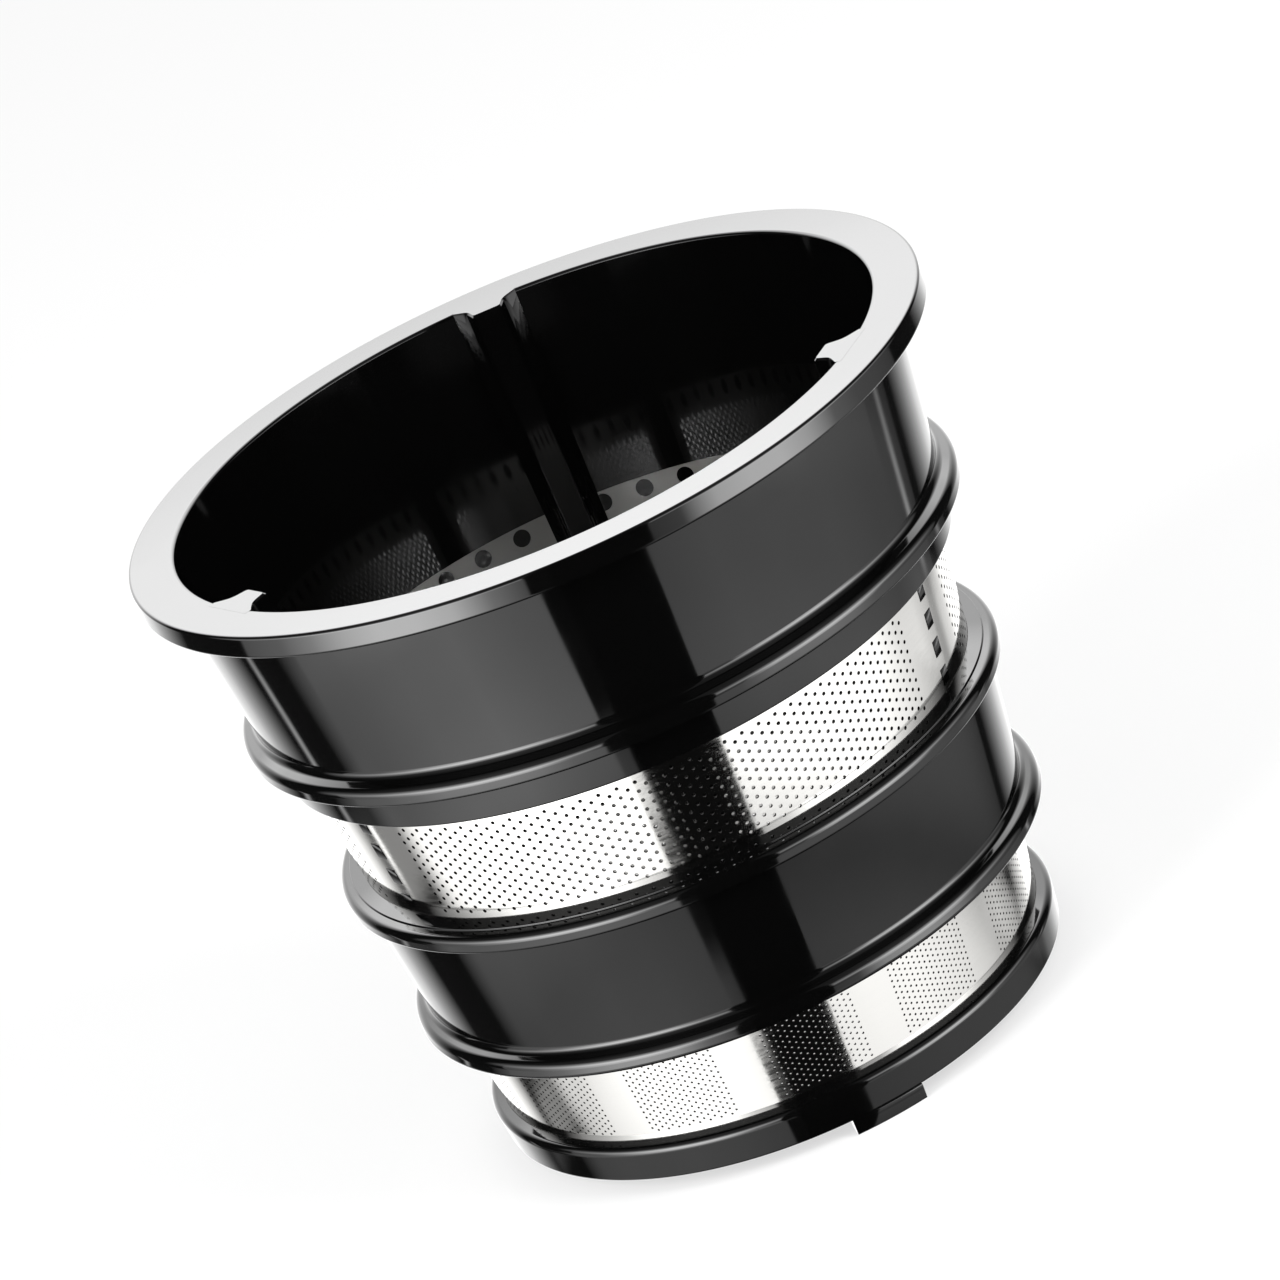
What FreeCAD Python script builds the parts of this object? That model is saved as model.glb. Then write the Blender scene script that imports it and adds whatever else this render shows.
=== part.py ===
import FreeCAD, Part
import os
import Sketcher

# Juicer mesh screen: a tapered basket moulded in one piece round two perforated steel bands.
# The axis is Z, the feet stand on the plane Z = 0 and the back rib lies on the +Y side.

# Driving dimensions in millimetres and degrees.
SIZES = {
    # basket wall, which tapers from the mouth to the base
    "wall_radius_top": 51.3,
    "wall_radius_base": 39.95,
    "wall_thickness": 2.4,
    # stretches of the basket, one above the other from the feet to the mouth
    "lug_height": 2.3,
    "base_height": 5.45,
    "lower_window_height": 13.75,
    "middle_height": 18.4,
    "stub_height": 1.1,
    "upper_window_height": 16.3,
    "collar_height": 5.2,
    "mouth_height": 25.9,
    # flange round the mouth
    "flange_reach": 4.1,
    "flange_thickness": 3.2,
    "flange_bevel": 0.4,
    # three rings round the wall, each with a ledge that falls a little outwards
    "ring_thickness": 2.3,
    "upper_ring_reach": 2.4,
    "middle_ring_reach": 1.75,
    "lower_ring_reach": 2.05,
    "ring_bevel": 0.7,
    "ring_root": 0.8,
    "upper_ledge_fall": 0.85,
    "middle_ledge_fall": 0.5,
    "lower_ledge_fall": 0.75,
    # lower rims of the windows
    "rim_bevel": 0.3,
    "base_bevel": 0.7,
    # steel bands, seated behind both rims of their windows
    "screen_thickness": 0.4,
    "screen_margin": 2.8,
    # inward lip round the bottom opening
    "lip_reach": 3.05,
    "lip_height": 3.0,
    # feet under the base
    "lug_depth": 3.2,
    "lug_spread": 15.0,
    "lug_angle": 13.5,
    "lug_count": 3,
    # ribs down the inside, which taper to the base: widths at the crest, half way down and at the wall
    "rib_root": 1.0,
    "rib_depth_top": 4.25,
    "rib_depth_base": 2.2,
    "rib_crest_top": 4.1,
    "rib_crest_base": 2.7,
    "rib_knee_top": 5.4,
    "rib_knee_base": 3.5,
    "rib_knee_depth_top": 1.7,
    "rib_knee_depth_base": 0.9,
    "rib_foot_top": 9.6,
    "rib_foot_base": 5.8,
    # plugs of the ribs that lock through slots in the upper band
    "plug_spread": 2.4,
    "plug_height": 2.3,
    "plug_gap_low": 0.7,
    "plug_gap_high": 0.9,
    "plug_root": 0.6,
    "plug_sink": 0.05,
    # coarse perforation that stands for the fine holes of each band
    "hole_height": 1.9,
    "hole_over": 1.0,
    "upper_hole_spread": 2.4,
    "upper_hole_rise": 3.6,
    "upper_hole_columns": 24,
    "lower_hole_spread": 2.6,
    "lower_hole_rise": 2.7,
    "lower_hole_step": 7.0,
    "lower_patch_angle": 5.2,
    "lower_patch_count": 13,
}

RIB_COUNT = 3
PLUGS_PER_RIB = 4

# Heights above the feet, radii and other sizes that follow from the driving dimensions.
FORMULAS = {
    "lower_window_bottom": "lug_height + base_height",
    "lower_window_top": "lower_window_bottom + lower_window_height",
    "lower_ring_ledge": "lower_window_top + ring_thickness",
    "middle_ring_ledge": "lower_ring_ledge + middle_height + ring_thickness",
    "upper_window_bottom": "middle_ring_ledge + stub_height",
    "upper_window_top": "upper_window_bottom + upper_window_height",
    "upper_ring_ledge": "upper_window_top + collar_height + ring_thickness",
    "flange_top": "upper_ring_ledge + mouth_height",
    "flange_bottom": "flange_top - flange_thickness",
    "flange_radius": "wall_radius_top + flange_reach",
    "wall_taper": "(wall_radius_top - wall_radius_base) / (flange_top - lug_height)",
    "screen_inset": "wall_thickness - screen_thickness",
    "bore_radius": "wall_radius_base - wall_thickness - lip_reach",
    "lip_top": "lug_height + lip_height",
    "lip_middle": "lug_height + lip_height / 2",
    "plug_room": "upper_window_height - plug_gap_low - plug_gap_high - plug_height",
    "plug_pitch": f"plug_room / {PLUGS_PER_RIB - 1}",
    "plug_first": "upper_window_bottom + plug_gap_low",
}

doc = FreeCAD.newDocument("juicer_mesh_screen")
sheet = doc.addObject("Spreadsheet::Sheet", "Sizes")
cells = {alias: str(value) for alias, value in SIZES.items()}
cells.update({alias: f"={formula}" for alias, formula in FORMULAS.items()})
for row, alias in enumerate(cells, start=1):
    sheet.set(f"A{row}", alias)
    sheet.setAlias(f"B{row}", alias)
for row, content in enumerate(cells.values(), start=1):
    sheet.set(f"B{row}", content)
doc.recompute()


def size(name):
    """Expression that reads one cell of the sheet."""
    return f"Sizes.{name}"


def wall(height, inset="0"):
    """Expression for the radius of the tapered outer wall at a height, less a radial inset."""
    rise = f"({height} - {size('lug_height')})"
    return f"({size('wall_radius_base')} + {rise} * {size('wall_taper')} - ({inset}))"


INNER_FACE = size("wall_thickness")
SCREEN_FACE = size("screen_inset")
CUT_INSIDE = f"{INNER_FACE} + {size('hole_over')}"
CUT_OUTSIDE = f"{SCREEN_FACE} - {size('hole_over')}"
UPPER_WINDOW = (size("upper_window_bottom"), size("upper_window_top"))
LOWER_WINDOW = (size("lower_window_bottom"), size("lower_window_top"))
# directions about the Z axis, from +X towards +Y
FRONT = -90
BACK = 90


def origin_feature(body, role):
    """Plane or axis of a body's own origin."""
    return next(feature for feature in body.Origin.OriginFeatures if feature.Role == role)


def new_sketch(body, name, role):
    """Empty sketch on one of the body's origin planes."""
    sketch = body.newObject("Sketcher::SketchObject", name)
    sketch.AttachmentSupport = [(origin_feature(body, role), "")]
    sketch.MapMode = "FlatFace"
    return sketch


def radial_sketch(body, name, direction):
    """Empty upright sketch through the Z axis, turned to a direction about it."""
    sketch = new_sketch(body, name, "XZ_Plane")
    upright = FreeCAD.Rotation(FreeCAD.Vector(0, 1, 0), 1.0)
    sketch.AttachmentOffset = FreeCAD.Placement(FreeCAD.Vector(), upright)
    sketch.setExpression("AttachmentOffset.Rotation.Angle", str(direction))
    return sketch


def add_loop(sketch, corners):
    """Closed polygon whose corners are pairs of expressions, each bound to the sheet."""
    first = sketch.GeometryCount
    count = len(corners)
    rough = [FreeCAD.Vector(index + 1, index * index + 1, 0) for index in range(count)]
    for index in range(count):
        sketch.addGeometry(Part.LineSegment(rough[index], rough[(index + 1) % count]), False)
    for index in range(count):
        following = first + (index + 1) % count
        sketch.addConstraint(Sketcher.Constraint("Coincident", first + index, 2, following, 1))
    for index, pair in enumerate(corners, start=first):
        for kind, expression in zip(("DistanceX", "DistanceY"), pair):
            place = sketch.addConstraint(Sketcher.Constraint(kind, -1, 1, index, 1, 1.0))
            sketch.renameConstraint(place, f"{kind}_{index}")
            sketch.setExpression(f"Constraints.{kind}_{index}", expression)


def turn(body, kind, name, sketch, spread=None):
    """Turn of a sketch about the Z axis, full or spread evenly to both sides, added or cut away."""
    feature = body.newObject(kind, name)
    feature.Profile = sketch
    feature.ReferenceAxis = (sketch, ["V_Axis"])
    feature.Angle = 360
    if spread:
        feature.setExpression("Angle", spread)
        feature.Midplane = True
    doc.recompute()
    return feature


def around(body, name, feature, count):
    """Copies of a feature spread evenly about the Z axis."""
    pattern = body.newObject("PartDesign::PolarPattern", name)
    pattern.Originals = [feature]
    pattern.Axis = (origin_feature(body, "Z_Axis"), [""])
    pattern.Angle = 360
    pattern.setExpression("Occurrences", str(count))
    body.Tip = pattern
    doc.recompute()


def ledge_corners(ledge, reach):
    """Outer part of a ring's section: ledge, bevelled edge, face and flat underside."""
    edge = f"({ledge} - {size('ring_bevel')})"
    bottom = f"({ledge} - {size('ring_thickness')})"
    return [
        (f"{wall(ledge)} + {reach} - {size('ring_bevel')}", ledge),
        (f"{wall(edge)} + {reach}", edge),
        (f"{wall(bottom)} + {reach}", bottom),
        (wall(bottom), bottom),
    ]


def root_corners(ledge, fall, hollow):
    """Where a ring's ledge leaves the wall, with a sharp corner or a hollow of a given size."""
    root = f"({ledge} + {fall})"
    if hollow is None:
        return [(wall(root), root)]
    start = f"({root} + {hollow})"
    return [(wall(start), start), (f"{wall(root)} + {hollow}", root)]


def band_corners(window):
    """Section of a steel band that reaches behind both rims of its window."""
    low = f"({window[0]} - {size('screen_margin')})"
    high = f"({window[1]} + {size('screen_margin')})"
    return [
        (wall(low, INNER_FACE), low),
        (wall(low, SCREEN_FACE), low),
        (wall(high, SCREEN_FACE), high),
        (wall(high, INNER_FACE), high),
    ]


def window_corners(window, bevel):
    """Section cut away for a band's seat and its window, whose lower rim is bevelled."""
    bottom, top = window
    rim = f"({bottom} - {bevel})"
    seat = band_corners(window)
    opening = [
        (wall(bottom, SCREEN_FACE), bottom),
        (wall(bottom, bevel), bottom),
        (wall(rim), rim),
        (size("flange_radius"), rim),
        (size("flange_radius"), top),
        (wall(top, SCREEN_FACE), top),
    ]
    return seat[:2] + opening + seat[2:]


def rib_corners(height, end):
    """Rib section: flanks that leave the wall gently and then rise steeply to a flat crest."""
    face = wall(height, INNER_FACE)
    flank = [
        (size(f"rib_foot_{end}"), f"-{size('rib_root')}"),
        (size(f"rib_foot_{end}"), "0"),
        (size(f"rib_knee_{end}"), size(f"rib_knee_depth_{end}")),
        (size(f"rib_crest_{end}"), size(f"rib_depth_{end}")),
    ]
    right = [(f"{width} / 2", f"{face} - ({depth})") for width, depth in flank]
    left = [(f"-{across}", depth) for across, depth in reversed(right)]
    return right + left


def add_ribs(body):
    """Ribs lofted down the inside, from the flange's top to the middle of the lip."""
    ends = []
    for end, height in (("top", size("flange_top")), ("base", size("lip_middle"))):
        sketch = new_sketch(body, f"rib_{end}", "XY_Plane")
        sketch.setExpression("AttachmentOffset.Base.z", height)
        add_loop(sketch, rib_corners(height, end))
        ends.append(sketch)
    doc.recompute()
    back_rib = body.newObject("PartDesign::AdditiveLoft", "back_rib")
    back_rib.Profile = ends[0]
    back_rib.Sections = [ends[1]]
    back_rib.Ruled = True
    doc.recompute()
    around(body, "ribs", back_rib, RIB_COUNT)


def add_plug_loops(sketch, inner, outer):
    """Side sections of one rib's plugs, or of their slots, between two insets from the wall."""
    for index in range(PLUGS_PER_RIB):
        low = f"({size('plug_first')} + {index} * {size('plug_pitch')})"
        high = f"({low} + {size('plug_height')})"
        near = [(wall(low, inner), low), (wall(low, outer), low)]
        add_loop(sketch, near + [(wall(high, outer), high), (wall(high, inner), high)])


def make_frame():
    """Moulded basket: flange, rings, windows, ribs, plugs and feet in one solid."""
    body = doc.addObject("PartDesign::Body", "frame")
    radius, top, bottom = size("flange_radius"), size("flange_top"), size("flange_bottom")
    bevel, hollow = size("flange_bevel"), size("ring_root")
    base, bore = size("lug_height"), size("bore_radius")
    corners = [
        (wall(top, INNER_FACE), top),
        (f"{radius} - {bevel}", top),
        (radius, f"{top} - {bevel}"),
        (radius, bottom),
        (wall(bottom), bottom),
    ]
    for ring, root in (("upper", hollow), ("middle", None), ("lower", hollow)):
        ledge = size(f"{ring}_ring_ledge")
        corners += root_corners(ledge, size(f"{ring}_ledge_fall"), root)
        corners += ledge_corners(ledge, size(f"{ring}_ring_reach"))
    lip = size("lip_top")
    corners += [(wall(base), base), (bore, base), (bore, lip), (wall(lip, INNER_FACE), lip)]
    profile = new_sketch(body, "basket_profile", "XZ_Plane")
    add_loop(profile, corners)
    turn(body, "PartDesign::Revolution", "basket", profile)

    add_ribs(body)

    windows = new_sketch(body, "window_sections", "XZ_Plane")
    add_loop(windows, window_corners(UPPER_WINDOW, size("rim_bevel")))
    add_loop(windows, window_corners(LOWER_WINDOW, size("base_bevel")))
    turn(body, "PartDesign::Groove", "windows", windows)

    plugs = radial_sketch(body, "plug_sections", BACK)
    add_plug_loops(plugs, f"{INNER_FACE} + {size('plug_root')}", f"{SCREEN_FACE} + {size('plug_sink')}")
    back_plugs = turn(body, "PartDesign::Revolution", "back_plugs", plugs, size("plug_spread"))
    around(body, "plugs", back_plugs, RIB_COUNT)

    feet = radial_sketch(body, "lug_section", f"{FRONT} + {size('lug_angle')}")
    inner = f"({size('wall_radius_base')} - {size('lug_depth')})"
    add_loop(feet, [(inner, "0"), (wall("0"), "0"), (wall(base), base), (inner, size("lip_middle"))])
    first_lug = turn(body, "PartDesign::Revolution", "first_lug", feet, size("lug_spread"))
    around(body, "lugs", first_lug, size("lug_count"))
    return body


def make_band(name, window):
    """Plain tapered steel band."""
    body = doc.addObject("PartDesign::Body", name)
    profile = new_sketch(body, f"{name}_profile", "XZ_Plane")
    add_loop(profile, band_corners(window))
    turn(body, "PartDesign::Revolution", f"{name}_band", profile)
    return body


def add_holes(body, name, window, direction, spread, rises, count):
    """Column of square holes at heights about the window's middle, repeated round the band."""
    middle = f"({window[0]} + {window[1]}) / 2"
    half = f"{size('hole_height')} / 2"
    column = radial_sketch(body, f"{name}_column", direction)
    for rise in rises:
        low = f"({middle} + {rise} - {half})"
        high = f"({middle} + {rise} + {half})"
        inner, outer = wall(low, CUT_INSIDE), wall(high, CUT_OUTSIDE)
        add_loop(column, [(inner, low), (outer, low), (outer, high), (inner, high)])
    first = turn(body, "PartDesign::Groove", f"first_{name}", column, spread)
    around(body, name, first, count)


def make_upper_screen():
    """Upper band with the slots for the plugs and staggered holes all the way round."""
    body = make_band("upper_screen", UPPER_WINDOW)
    slots = radial_sketch(body, "slot_sections", BACK)
    add_plug_loops(slots, CUT_INSIDE, CUT_OUTSIDE)
    back_slots = turn(body, "PartDesign::Groove", "back_slots", slots, size("plug_spread"))
    around(body, "slots", back_slots, RIB_COUNT)

    columns, rise = size("upper_hole_columns"), size("upper_hole_rise")
    step = f"90 / {columns}"
    for name, place, rises in (("even_holes", 1, (f"-{rise}", rise)), ("odd_holes", 3, ("0",))):
        direction = f"{BACK} + {place} * {step}"
        add_holes(body, name, UPPER_WINDOW, direction, size("upper_hole_spread"), rises, columns)
    return body


def make_lower_screen():
    """Lower band with the holes gathered in patches between plain strips."""
    body = make_band("lower_screen", LOWER_WINDOW)
    rise, patches = size("lower_hole_rise"), size("lower_patch_count")
    for name, place, row in (("left_holes", -1, -1), ("centre_holes", 0, 1), ("right_holes", 1, -1)):
        direction = f"{BACK} + {size('lower_patch_angle')} + {place} * {size('lower_hole_step')}"
        rises = (f"{row} * {rise}",)
        add_holes(body, name, LOWER_WINDOW, direction, size("lower_hole_spread"), rises, patches)
    return body


nodes = [make_frame(), make_upper_screen(), make_lower_screen()]
doc.recompute()
for item in doc.Objects:
    if "Invalid" in item.State or "Error" in item.State:
        raise RuntimeError(f"{item.Name} did not build: {item.State}")

os.makedirs("parts", exist_ok=True)
for node in nodes:
    shape = node.Shape
    if shape.isNull() or not shape.isValid() or len(shape.Solids) != 1:
        raise RuntimeError(f"{node.Label} is not one valid solid")
    shape.exportStep(f"parts/{node.Label}.step")
    print(node.Label, round(shape.Volume, 1), round(shape.Area, 1))
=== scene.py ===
import logging
import math
from dataclasses import dataclass, field
from enum import Enum

import bpy
import numpy as np
from mathutils import Matrix, Vector


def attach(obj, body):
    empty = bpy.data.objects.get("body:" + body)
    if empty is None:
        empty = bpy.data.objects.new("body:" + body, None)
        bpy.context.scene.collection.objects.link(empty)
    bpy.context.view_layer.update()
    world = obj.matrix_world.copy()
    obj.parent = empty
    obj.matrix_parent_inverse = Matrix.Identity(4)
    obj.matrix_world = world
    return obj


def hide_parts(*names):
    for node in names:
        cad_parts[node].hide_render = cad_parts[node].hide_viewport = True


LOG = logging.getLogger("juicer_mesh_screen")
MM = 0.001
DULL_AND_SHADE = "dull_and_shade"
LIGHT = "light"

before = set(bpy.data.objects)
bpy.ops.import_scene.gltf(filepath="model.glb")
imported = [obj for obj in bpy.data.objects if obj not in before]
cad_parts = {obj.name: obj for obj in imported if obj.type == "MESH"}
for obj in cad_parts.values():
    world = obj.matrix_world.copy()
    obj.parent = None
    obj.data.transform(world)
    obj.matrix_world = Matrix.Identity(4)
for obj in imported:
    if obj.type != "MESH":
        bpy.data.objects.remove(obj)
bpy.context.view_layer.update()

# corners of a cell of the perforation, as shares of the column step and of the pitch
HEXAGON = np.array([[2 / 3, 0], [1 / 3, 0.5], [-1 / 3, 0.5], [-2 / 3, 0], [-1 / 3, -0.5], [1 / 3, -0.5]])


class Side(Enum):
    """Side of the basket or of the studio, as the viewer sees it."""

    LEFT = -1
    RIGHT = 1


class Face(Enum):
    """Face of a steel band: its sign turns the cone's normal outwards or inwards."""

    OUTER = 1
    INNER = -1


class RibPlace(Enum):
    """Place of a rib about the axis, in degrees from the front."""

    FRONT_LEFT = -60.0
    FRONT_RIGHT = 60.0
    BACK = 180.0


class Zone(Enum):
    """Heights in metres at which a part of the studio is marked on a card."""

    TABLE = (-0.4, -0.205, -0.175, -0.155, -0.135, -0.11, -0.09)
    SOFTBOX_FOOT = (-0.15, -0.135, -0.11, -0.09, -0.06, -0.02)
    SOFTBOX = (-0.072, -0.055, -0.005, 0.05, 0.1)
    SOFTBOX_TOP = (0.03, 0.09, 0.14, 0.2, 0.4, 1.0)
    ROOM = (-0.4, 0.1, 0.16, 0.195, 0.215, 0.24, 0.3, 0.4, 1.0)
    BESIDE_BANDS = (-0.168, -0.165, -0.153, -0.15, -0.109, -0.106, -0.086, -0.083)
    BEFORE_BANDS = (-0.192, -0.188, -0.17, -0.166, -0.139, -0.134, -0.115, -0.111)
    LEFT_GAP = (-0.104, -0.095, -0.075, -0.055, -0.02)
    RIGHT_GAP = (-0.09, -0.078, -0.055, -0.02)


def linear(colour: str) -> tuple[float, float, float, float]:
    """Turns an sRGB hex colour into linear light.

    Args:
        colour: six hex digits after a hash sign.

    Returns:
        Linear red, green, blue and an alpha of one.
    """
    parts = np.array([int(colour[place:place + 2], 16) for place in (1, 3, 5)]) / 255.0
    light = np.where(parts <= 0.04045, parts / 12.92, ((parts + 0.055) / 1.055) ** 2.4)
    return (float(light[0]), float(light[1]), float(light[2]), 1.0)


def polar(radius: np.ndarray, turn: np.ndarray, height: np.ndarray) -> np.ndarray:
    """Points from a radius, a turn from the front (-Y) towards +X in radians, and a height.

    Args:
        radius: distances from the axis in millimetres.
        turn: angles about the axis.
        height: heights above the feet in millimetres.

    Returns:
        Array of points in metres, with the coordinates on the last axis.
    """
    radius, turn, height = np.broadcast_arrays(radius, turn, height)
    return np.stack([radius * np.sin(turn), -radius * np.cos(turn), height], axis=-1) * MM


def around(normal: np.ndarray, turn: np.ndarray) -> np.ndarray:
    """Carries normals of a radial section round the axis.

    Args:
        normal: pairs of a radial and an upward part, on the last axis.
        turn: angles about the axis, shaped to match the pairs.

    Returns:
        Array of unit vectors.
    """
    out, up = normal[..., 0], normal[..., 1]
    out, up, turn = np.broadcast_arrays(out, up, turn)
    return np.stack([out * np.sin(turn), -out * np.cos(turn), up], axis=-1)


def mesh_piece(
    name: str, points: np.ndarray, faces: np.ndarray, normals: np.ndarray | None = None, crease: float | None = None
) -> bpy.types.Object:
    """Puts a surface into a new object at the origin.

    Args:
        name: name of the piece.
        points: vertices in metres, one row each.
        faces: vertex numbers, one row for each face.
        normals: normals of the true surface at the vertices, where they are known.
        crease: angle in degrees above which an edge stays sharp, where no normals are given.

    Returns:
        The new object, linked to the scene.
    """
    points = np.ascontiguousarray(points.reshape(-1, 3), dtype=np.float32)
    faces = np.ascontiguousarray(faces, dtype=np.int32)
    mesh = bpy.data.meshes.new(name)
    mesh.vertices.add(len(points))
    mesh.vertices.foreach_set("co", points.ravel())
    mesh.loops.add(faces.size)
    mesh.loops.foreach_set("vertex_index", faces.ravel())
    mesh.polygons.add(len(faces))
    mesh.polygons.foreach_set("loop_start", np.arange(0, faces.size, faces.shape[1], dtype=np.int32))
    mesh.update(calc_edges=True)
    mesh.polygons.foreach_set("use_smooth", np.ones(len(faces), dtype=bool))
    if normals is not None:
        mesh.normals_split_custom_set_from_vertices(normals.reshape(-1, 3).astype(np.float32))
    elif crease is not None:
        mesh.set_sharp_from_angle(angle=math.radians(crease))
    piece = bpy.data.objects.new(name, mesh)
    bpy.context.scene.collection.objects.link(piece)
    return piece


def grid_faces(rows: int, columns: int, wrap_rows: bool, wrap_columns: bool) -> np.ndarray:
    """Quads of a grid whose first axis is the row, with either axis closed on itself or open.

    Args:
        rows: points along the first axis.
        columns: points along the second axis.
        wrap_rows: whether the last row joins the first.
        wrap_columns: whether the last column joins the first.

    Returns:
        Vertex numbers of each quad.
    """
    row = np.arange(rows if wrap_rows else rows - 1)[:, None]
    column = np.arange(columns if wrap_columns else columns - 1)[None, :]
    next_row, next_column = (row + 1) % rows, (column + 1) % columns
    corners = (row * columns + column, next_row * columns + column,
               next_row * columns + next_column, row * columns + next_column)
    return np.stack([np.broadcast_to(corner, (row.size, column.size)) for corner in corners], axis=-1).reshape(-1, 4)


def capped_faces(levels: int, count: int) -> np.ndarray:
    """Triangles of a loft whose ends are closed by fans from the two points that follow its levels.

    Args:
        levels: sections along the loft.
        count: points on each section.

    Returns:
        Vertex numbers of each triangle.
    """
    side = grid_faces(levels, count, False, True)
    ring = np.arange(count)
    following = (ring + 1) % count
    last, total = (levels - 1) * count, levels * count
    first_cap = np.stack([ring, following, np.full(count, total)], axis=-1)
    last_cap = np.stack([last + following, last + ring, np.full(count, total + 1)], axis=-1)
    return np.concatenate([side[:, [0, 1, 2]], side[:, [0, 2, 3]], first_cap, last_cap])


def rounded_outline(corners: np.ndarray, radii: np.ndarray, steps: int) -> tuple[np.ndarray, np.ndarray]:
    """Closed section with an arc at each corner.

    The arc starts where the edge before the corner is r * tan(half the turn) from it. Along the arc the
    heading turns evenly, and the point lies one radius to the side of the arc's centre.

    Args:
        corners: corners of the section, anticlockwise, one row each.
        radii: arc radius at each corner.
        steps: points on each arc.

    Returns:
        Points of the section and its outward normals.
    """
    before = corners - np.roll(corners, 1, axis=0)
    after = np.roll(corners, -1, axis=0) - corners
    heading = np.arctan2(before[:, 1], before[:, 0])
    swing = np.arctan2(after[:, 1], after[:, 0]) - heading
    swing = (swing + np.pi) % (2 * np.pi) - np.pi
    reach = radii * np.tan(np.abs(swing) / 2)
    start = corners - reach[:, None] * before / np.linalg.norm(before, axis=1)[:, None]
    sign = np.sign(swing)[:, None, None]
    share = np.linspace(0.0, 1.0, steps)[None, :]
    angle = heading[:, None] + share * swing[:, None]
    left = np.stack([-np.sin(angle), np.cos(angle)], axis=-1)
    points = start[:, None, :] + sign * radii[:, None, None] * (left[:, :1, :] - left)
    return points.reshape(-1, 2), -left.reshape(-1, 2)


def add_node(
    tree: bpy.types.NodeTree, kind: str, settings: dict[str, object] | None = None,
    values: dict[str, object] | None = None, links: dict[str, bpy.types.NodeSocket] | None = None
) -> bpy.types.Node:
    """Adds one node with its settings and links.

    Args:
        tree: node tree that takes the node.
        kind: type name of the node.
        settings: properties of the node itself.
        values: plain values of its inputs, by name.
        links: outputs of other nodes, by the name of the input they feed.

    Returns:
        The new node.
    """
    node = tree.nodes.new(kind)
    for key, value in (settings or {}).items():
        setattr(node, key, value)
    for key, value in (values or {}).items():
        node.inputs[key].default_value = value
    for key, socket in (links or {}).items():
        tree.links.new(socket, node.inputs[key])
    return node


def empty_tree(owner: bpy.types.Material | bpy.types.World) -> bpy.types.NodeTree:
    """Switches on the nodes of a material or world and clears them.

    Args:
        owner: material or world.

    Returns:
        Its empty node tree.
    """
    owner.use_nodes = True
    owner.node_tree.nodes.clear()
    return owner.node_tree


@dataclass(frozen=True)
class GlossyPlastic:
    """Glossy black polypropylene, moulded in a polished tool.

    The eye sees near-black with clear reflections that waver a little where the skin shrank as it cooled,
    and fine rubbing marks that make the gloss rougher in places.
    """

    name: str = "glossy_black_polypropylene"
    colour: str = "#040404"
    ior: float = 1.49
    specular: float = 0.4
    roughness: float = 0.04
    wear: float = 0.05
    wear_size: float = 7.0
    wear_range: tuple[float, float] = (0.35, 0.75)
    wave_size: float = 16.0
    wave_depth: float = 0.02

    def material(self) -> bpy.types.Material:
        """Builds the node material.

        Returns:
            The finished material.
        """
        material = bpy.data.materials.new(self.name)
        material.use_nodes = True
        tree = material.node_tree
        shader = tree.nodes["Principled BSDF"]
        shader.inputs["Base Color"].default_value = linear(self.colour)
        shader.inputs["IOR"].default_value = self.ior
        shader.inputs["Specular IOR Level"].default_value = self.specular
        place = add_node(tree, "ShaderNodeTexCoord")
        marks = add_node(tree, "ShaderNodeTexNoise", values={"Scale": 1 / (self.wear_size * MM), "Detail": 6.0},
                         links={"Vector": place.outputs["Object"]})
        gloss = add_node(tree, "ShaderNodeMapRange",
                         values={"From Min": self.wear_range[0], "From Max": self.wear_range[1],
                                 "To Min": self.roughness, "To Max": self.roughness + self.wear},
                         links={"Value": marks.outputs["Fac"]})
        tree.links.new(gloss.outputs["Result"], shader.inputs["Roughness"])
        waves = add_node(tree, "ShaderNodeTexNoise", values={"Scale": 1 / (self.wave_size * MM), "Detail": 1.0},
                         links={"Vector": place.outputs["Object"]})
        bump = add_node(tree, "ShaderNodeBump", values={"Strength": 1.0, "Distance": self.wave_depth * MM},
                        links={"Height": waves.outputs["Fac"]})
        tree.links.new(bump.outputs["Normal"], shader.inputs["Normal"])
        return material


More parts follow.
